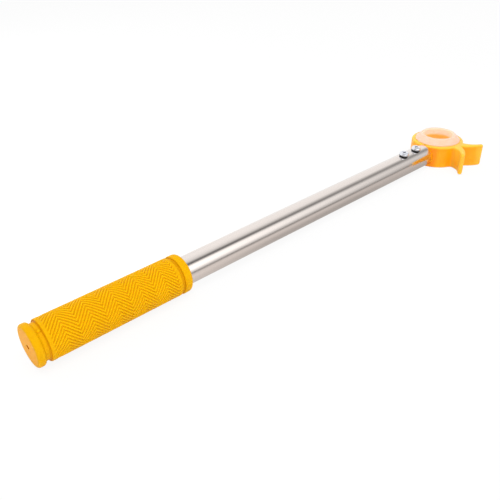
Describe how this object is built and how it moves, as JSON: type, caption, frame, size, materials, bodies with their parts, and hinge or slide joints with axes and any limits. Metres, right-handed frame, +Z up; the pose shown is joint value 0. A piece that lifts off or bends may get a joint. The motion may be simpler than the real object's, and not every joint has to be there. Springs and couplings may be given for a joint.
{
  "type": "hand tow bar",
  "caption": "Short hand tow bar: rubber-gripped steel tube with a moulded head that has a lined eye and a V-shaped mouth at its side.",
  "frame": {"origin": "on the axis of the lined eye, level with the tube's axis", "axes": "+X along the tube from the grip to the head, +Z up along the eye's axis, so the mouth opens towards -Y"},
  "size_m": [0.4825, 0.0686, 0.0324],
  "materials": {
    "steel": "polished",
    "grip_rubber": "satin",
    "head_plastic": "satin",
    "liner_soft": "satin, milky",
    "zinc": "bright zinc plated",
    "black_steel": "black oxide"
  },
  "bodies": {
    "root": {"steel_tube": "steel", "rubber_grip": "grip_rubber", "head_housing": "head_plastic", "ring_liner": "liner_soft", "front_screw": "zinc", "rear_screw": "zinc", "front_washer": "black_steel", "rear_washer": "black_steel", "front_nut": "zinc", "rear_nut": "zinc"}
  },
  "joints": []
}
